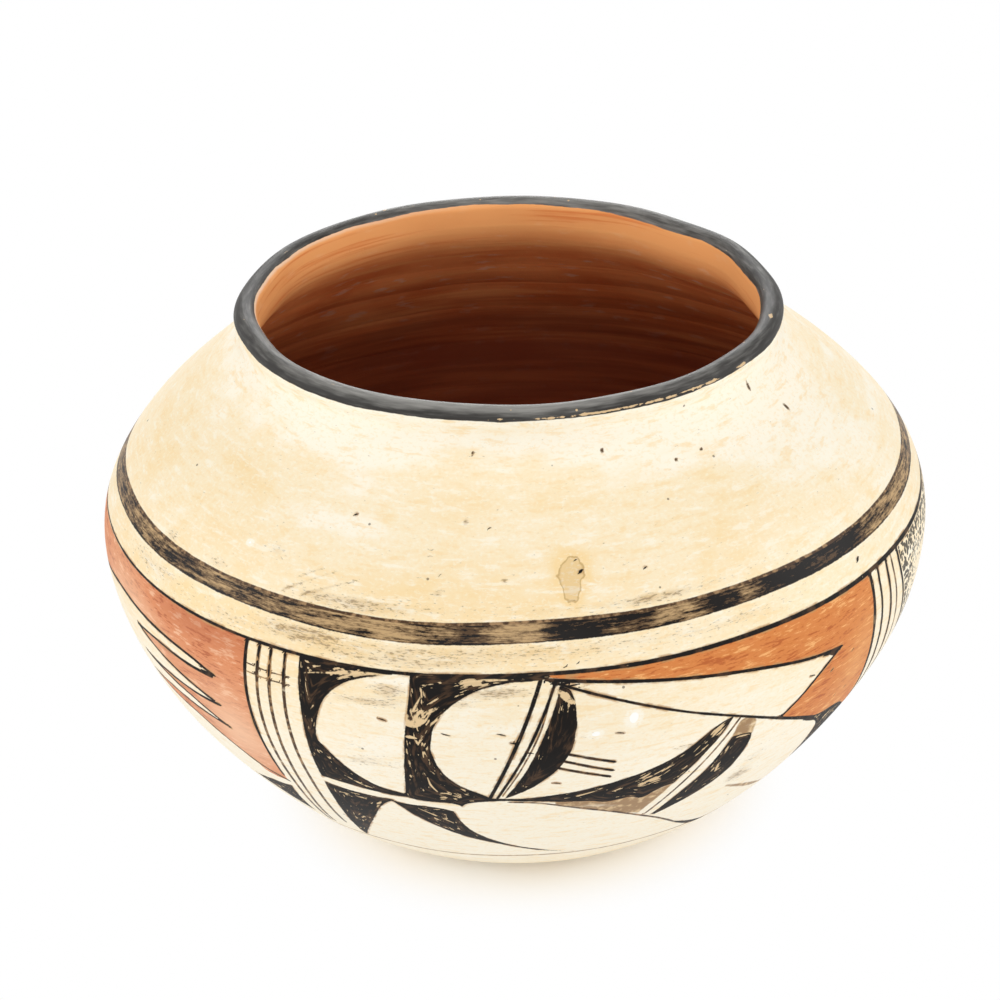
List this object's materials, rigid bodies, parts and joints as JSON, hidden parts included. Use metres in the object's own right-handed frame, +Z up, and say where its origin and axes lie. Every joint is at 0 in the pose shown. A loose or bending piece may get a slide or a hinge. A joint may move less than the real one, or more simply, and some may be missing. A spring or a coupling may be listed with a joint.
{
  "type": "clay pot",
  "caption": "Wide round-bellied earthenware jar with a small foot, a short neck and a rounded rolled lip, hand-built from coils and painted in traditional bands over pale slip.",
  "frame": {"origin": "centre of the foot, on the surface that the jar stands on", "axes": "+Z up along the jar's axis of revolution; -Y towards the pictured front, +X to its right"},
  "size_m": [0.22, 0.22, 0.1451],
  "materials": {
    "painted_slip": "polished cream to yellow-ochre slip with brown-black and red-brown painted bands",
    "rim_paint": "satin brown-black paint over the lip, chipped pale in places",
    "bare_clay": "matt unslipped orange-red fired clay, scraped and wiped"
  },
  "bodies": {
    "root": {"base": "bare_clay", "wall_coil_1": "painted_slip", "wall_coil_2": "painted_slip", "wall_coil_3": "painted_slip", "wall_coil_4": "painted_slip", "wall_coil_5": "painted_slip", "belly_coil": "painted_slip", "shoulder_coil_1": "painted_slip", "shoulder_coil_2": "painted_slip", "shoulder_coil_3": "painted_slip", "rim_coil": "rim_paint"}
  },
  "joints": []
}
